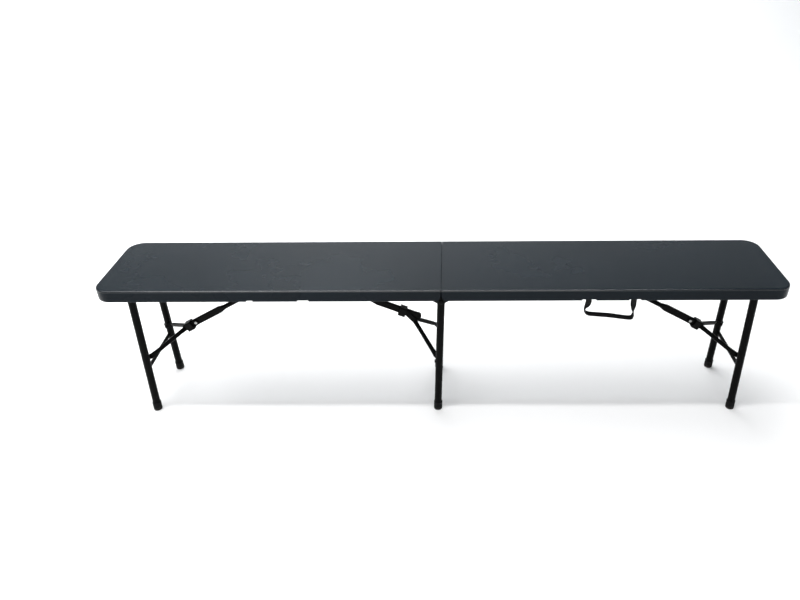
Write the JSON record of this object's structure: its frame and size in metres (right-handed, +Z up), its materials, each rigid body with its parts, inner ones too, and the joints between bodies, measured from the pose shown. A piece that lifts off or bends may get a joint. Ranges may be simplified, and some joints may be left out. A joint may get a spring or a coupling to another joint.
{
  "type": "folding bench",
  "caption": "Long low bench that folds in half, with tubular leg frames under its ends and middle, folding braces and a webbing carry strap.",
  "frame": {"origin": "on the floor under the middle of the seam between the two seat halves, bench open", "axes": "+X along the bench towards the half that carries the strap, +Y from the front rim (with the strap) to the back, +Z up"},
  "size_m": [1.82, 0.28, 0.43],
  "materials": {
    "seat_plastic": "fine pebbled satin polyethylene, dark slate",
    "black_tube": "satin black powder coat",
    "foot_plastic": "matt black moulded cap",
    "black_nylon": "matt black nylon",
    "webbing": "woven black webbing",
    "ring_steel": "black coated steel ring, slightly worn",
    "bright_fastener": "zinc plated"
  },
  "bodies": {
    "left_half": {"left_panel": "seat_plastic", "left_rail_front": "black_tube", "left_rail_rear": "black_tube", "left_rail_plugs": "black_nylon", "left_rail_screws": "bright_fastener", "left_hinge_plate_front": "black_tube", "left_hinge_plate_rear": "black_tube", "hinge_rod": "black_tube", "left_pivot_rod": "bright_fastener", "left_anchor_bar": "black_tube"},
    "right_half": {"right_panel": "seat_plastic", "right_rail_front": "black_tube", "right_rail_rear": "black_tube", "right_rail_plugs": "black_nylon", "right_rail_screws": "bright_fastener", "right_hinge_plate_front": "black_tube", "right_hinge_plate_rear": "black_tube", "right_pivot_rod": "bright_fastener", "right_anchor_bar": "black_tube", "strap_clamps": "bright_fastener", "strap_screws": "bright_fastener"},
    "left_leg": {"left_leg_pivot_tube": "black_tube", "left_leg_bushes": "black_nylon", "left_leg_front_tube": "black_tube", "left_leg_rear_tube": "black_tube", "left_leg_cross_bar": "black_tube", "left_leg_feet": "foot_plastic"},
    "centre_leg": {"centre_leg_pivot_tube": "black_tube", "centre_leg_bushes": "black_nylon", "centre_leg_front_tube": "black_tube", "centre_leg_rear_tube": "black_tube", "centre_leg_cross_bar": "black_tube", "centre_leg_feet": "foot_plastic"},
    "right_leg": {"right_leg_pivot_tube": "black_tube", "right_leg_bushes": "black_nylon", "right_leg_front_tube": "black_tube", "right_leg_rear_tube": "black_tube", "right_leg_cross_bar": "black_tube", "right_leg_feet": "foot_plastic"},
    "left_link": {"left_brace_link": "black_tube", "left_knee_rivet": "bright_fastener"},
    "centre_link": {"centre_brace_link": "black_tube", "centre_knee_rivet": "black_tube"},
    "right_link": {"right_brace_link": "black_tube", "right_knee_rivet": "bright_fastener"},
    "left_yoke": {"left_brace_arm_front": "black_tube", "left_brace_arm_rear": "black_tube", "left_arm_rivets": "black_tube"},
    "centre_yoke": {"centre_brace_arm_front": "black_tube", "centre_brace_arm_rear": "black_tube", "centre_arm_rivets": "black_tube"},
    "right_yoke": {"right_brace_arm_front": "black_tube", "right_brace_arm_rear": "black_tube", "right_arm_rivets": "black_tube"},
    "left_ring": {"left_lock_ring": "ring_steel"},
    "centre_ring": {"centre_lock_ring": "ring_steel"},
    "right_ring": {"right_lock_ring": "ring_steel"},
    "handle": {"carry_strap": "webbing"}
  },
  "joints": [
    {"name": "bench_fold", "type": "hinge", "parent": "left_half", "child": "right_half", "pos_m": [0, 0, 0.387], "axis": [0, 1, 0], "range_deg": [0, 180]},
    {"name": "left_leg_fold", "type": "hinge", "parent": "left_half", "child": "left_leg", "pos_m": [-0.838, 0, 0.401], "axis": [0, 1, 0], "range_deg": [-91, 0]},
    {"name": "centre_leg_fold", "type": "hinge", "parent": "left_half", "child": "centre_leg", "pos_m": [0, 0, 0.387], "axis": [0, 1, 0], "range_deg": [0, 87.93]},
    {"name": "right_leg_fold", "type": "hinge", "parent": "right_half", "child": "right_leg", "pos_m": [0.838, 0, 0.401], "axis": [0, 1, 0], "range_deg": [0, 91]},
    {"name": "left_link_swing", "type": "hinge", "parent": "left_half", "child": "left_link", "pos_m": [-0.415, 0, 0.4082], "axis": [0, 1, 0], "range_deg": [0, 28.95]},
    {"name": "centre_link_swing", "type": "hinge", "parent": "left_half", "child": "centre_link", "pos_m": [-0.415, 0, 0.4082], "axis": [0, 1, 0], "range_deg": [-18.59, 0]},
    {"name": "right_link_swing", "type": "hinge", "parent": "right_half", "child": "right_link", "pos_m": [0.415, 0, 0.4082], "axis": [0, 1, 0], "range_deg": [-28.95, 0]},
    {"name": "left_knee", "type": "hinge", "parent": "left_link", "child": "left_yoke", "pos_m": [-0.7133, 0, 0.24321], "axis": [0, 1, 0], "range_deg": [-177.19, 0]},
    {"name": "centre_knee", "type": "hinge", "parent": "centre_link", "child": "centre_yoke", "pos_m": [-0.10279, 0, 0.27512], "axis": [0, 1, 0], "range_deg": [0, 151.76]},
    {"name": "right_knee", "type": "hinge", "parent": "right_link", "child": "right_yoke", "pos_m": [0.7133, 0, 0.24321], "axis": [0, 1, 0], "range_deg": [0, 177.19]},
    {"name": "left_ring_slide", "type": "slide", "parent": "left_link", "child": "left_ring", "axis": [0.8751, 0, 0.484], "range_m": [0, 0.25]},
    {"name": "centre_ring_slide", "type": "slide", "parent": "centre_link", "child": "centre_ring", "axis": [-0.9199, 0, 0.3921], "range_m": [0, 0.215]},
    {"name": "right_ring_slide", "type": "slide", "parent": "right_link", "child": "right_ring", "axis": [-0.8751, 0, 0.484], "range_m": [0, 0.25]},
    {"name": "handle_swing", "type": "hinge", "parent": "right_half", "child": "handle", "pos_m": [0.4415, -0.1375, 0.398], "axis": [1, 0, 0], "range_deg": [-90, 0]}
  ],
  "couplings": [
    {"joint": "left_leg_fold", "follows": "bench_fold", "ratio": -0.50556},
    {"joint": "centre_leg_fold", "follows": "bench_fold", "ratio": 0.4885},
    {"joint": "right_leg_fold", "follows": "bench_fold", "ratio": 0.50556},
    {"joint": "left_link_swing", "follows": "bench_fold", "ratio": 0.16081},
    {"joint": "centre_link_swing", "follows": "bench_fold", "ratio": -0.10326},
    {"joint": "right_link_swing", "follows": "bench_fold", "ratio": -0.16081},
    {"joint": "left_knee", "follows": "bench_fold", "ratio": -0.98441},
    {"joint": "centre_knee", "follows": "bench_fold", "ratio": 0.84312},
    {"joint": "right_knee", "follows": "bench_fold", "ratio": 0.98441},
    {"joint": "left_ring_slide", "follows": "bench_fold", "m_per_rad": 0.079577},
    {"joint": "centre_ring_slide", "follows": "bench_fold", "m_per_rad": 0.068437},
    {"joint": "right_ring_slide", "follows": "bench_fold", "m_per_rad": 0.079577},
    {"joint": "handle_swing", "follows": "bench_fold", "ratio": -0.5}
  ]
}
